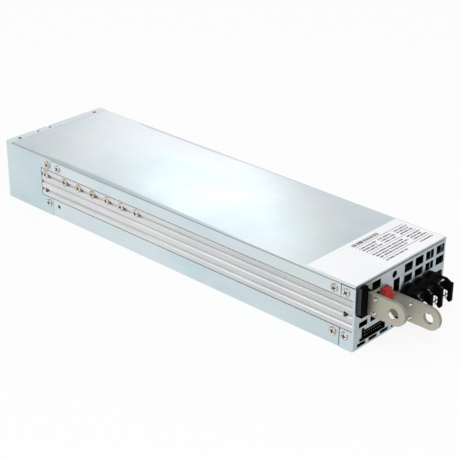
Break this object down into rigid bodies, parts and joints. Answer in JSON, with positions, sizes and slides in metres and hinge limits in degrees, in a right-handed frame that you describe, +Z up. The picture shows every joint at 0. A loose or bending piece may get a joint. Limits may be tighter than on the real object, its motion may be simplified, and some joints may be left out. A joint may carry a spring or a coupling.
{
  "type": "enclosed power supply",
  "caption": "Long flat metal-cased power supply with a ribbed heatsink along one side, bolt-on output tabs, a screw terminal block and a signal header in front, and fans at the rear.",
  "frame": {"origin": "centre of the case's underside", "axes": "+X to the right as the front panel is faced, +Y from the front panel to the rear fans, +Z up"},
  "size_m": [0.0864, 0.335, 0.0411],
  "materials": {
    "zinc_steel": "bright zinc plate with a faint cloudy passivation",
    "sink_aluminium": "satin extruded",
    "tinned_copper": "dull tin plate",
    "black_plastic": "fine moulded",
    "red_plastic": "moulded",
    "white_label": "satin film",
    "screw_steel": "bright plated",
    "fan_plastic": "fine moulded",
    "board_green": "solder resist",
    "clear_film": "smooth film",
    "copper_wire": "enamelled wire",
    "ferrite": "fired",
    "can_sleeve": "shrink sleeve",
    "film_box": "moulded",
    "black_epoxy": "moulded",
    "nickel_plate": "bright nickel plate",
    "gold_pin": "plated",
    "blue_plastic": "moulded"
  },
  "bodies": {
    "case": {"board_screws": "screw_steel", "board_standoffs": "zinc_steel", "boost_choke": "copper_wire", "bottom_chassis": "zinc_steel", "bridge_rectifier": "black_epoxy", "bulk_capacitors": "can_sleeve", "case_screws": "screw_steel", "control_board": "board_green", "cover_tab_screws": "screw_steel", "fan_frame_left": "fan_plastic", "fan_frame_right": "fan_plastic", "fan_screws": "screw_steel", "filter_capacitors": "film_box", "front_board": "board_green", "front_panel": "zinc_steel", "header_pins": "gold_pin", "heatsink": "sink_aluminium", "heatsink_screws": "screw_steel", "inrush_relay": "black_epoxy", "insulating_film": "clear_film", "label_sticker": "white_label", "line_choke": "copper_wire", "main_board": "board_green", "negative_bush": "black_plastic", "negative_tab": "tinned_copper", "output_capacitors": "can_sleeve", "output_choke": "copper_wire", "positive_bush": "red_plastic", "positive_tab": "tinned_copper", "power_transistors": "black_epoxy", "rear_fan_housing": "zinc_steel", "signal_header": "black_plastic", "switch_body": "black_plastic", "terminal_block": "black_plastic", "terminal_plate_1": "nickel_plate", "terminal_plate_2": "nickel_plate", "terminal_plate_3": "nickel_plate", "top_cover": "zinc_steel", "transformer_core": "ferrite", "transformer_winding": "copper_wire", "trimmer_body": "blue_plastic"},
    "fan_left": {"fan_rotor_left": "fan_plastic"},
    "fan_right": {"fan_rotor_right": "fan_plastic"},
    "trimmer": {"trimmer_rotor": "black_plastic"},
    "switch_1": {"switch_slider_1": "black_plastic"},
    "clamp_1": {"clamp_washer_1": "nickel_plate"},
    "screw_1": {"terminal_screw_1": "nickel_plate"},
    "switch_2": {"switch_slider_2": "black_plastic"},
    "clamp_2": {"clamp_washer_2": "nickel_plate"},
    "screw_2": {"terminal_screw_2": "nickel_plate"},
    "switch_3": {"switch_slider_3": "black_plastic"},
    "clamp_3": {"clamp_washer_3": "nickel_plate"},
    "screw_3": {"terminal_screw_3": "nickel_plate"}
  },
  "joints": [
    {"name": "fan_left_spin", "type": "hinge", "parent": "case", "child": "fan_left", "pos_m": [-0.01955, 0.1332, 0.02], "axis": [0, 1, 0], "continuous": true},
    {"name": "fan_right_spin", "type": "hinge", "parent": "case", "child": "fan_right", "pos_m": [0.01955, 0.1332, 0.02], "axis": [0, 1, 0], "continuous": true},
    {"name": "trimmer_turn", "type": "hinge", "parent": "case", "child": "trimmer", "pos_m": [-0.0068, -0.147, 0.0353], "axis": [0, -1, 0], "range_deg": [-135, 135]},
    {"name": "switch_1_slide", "type": "slide", "parent": "case", "child": "switch_1", "axis": [1, 0, 0], "range_m": [0, 0.002]},
    {"name": "switch_2_slide", "type": "slide", "parent": "case", "child": "switch_2", "axis": [1, 0, 0], "range_m": [0, 0.002]},
    {"name": "switch_3_slide", "type": "slide", "parent": "case", "child": "switch_3", "axis": [1, 0, 0], "range_m": [0, 0.002]},
    {"name": "clamp_1_lift", "type": "slide", "parent": "case", "child": "clamp_1", "axis": [0, -1, 0], "range_m": [0, 0.0028]},
    {"name": "screw_1_turn", "type": "hinge", "parent": "clamp_1", "child": "screw_1", "pos_m": [0.0136, -0.1559, 0.0092], "axis": [0, -1, 0], "range_deg": [0, 1440.5]},
    {"name": "clamp_2_lift", "type": "slide", "parent": "case", "child": "clamp_2", "axis": [0, -1, 0], "range_m": [0, 0.0028]},
    {"name": "screw_2_turn", "type": "hinge", "parent": "clamp_2", "child": "screw_2", "pos_m": [0.0236, -0.1559, 0.0092], "axis": [0, -1, 0], "range_deg": [0, 1440.5]},
    {"name": "clamp_3_lift", "type": "slide", "parent": "case", "child": "clamp_3", "axis": [0, -1, 0], "range_m": [0, 0.0028]},
    {"name": "screw_3_turn", "type": "hinge", "parent": "clamp_3", "child": "screw_3", "pos_m": [0.0336, -0.1559, 0.0092], "axis": [0, -1, 0], "range_deg": [0, 1440.5]}
  ],
  "couplings": [
    {"joint": "screw_1_turn", "follows": "clamp_1_lift", "rad_per_m": 8976},
    {"joint": "screw_2_turn", "follows": "clamp_2_lift", "rad_per_m": 8976},
    {"joint": "screw_3_turn", "follows": "clamp_3_lift", "rad_per_m": 8976}
  ]
}
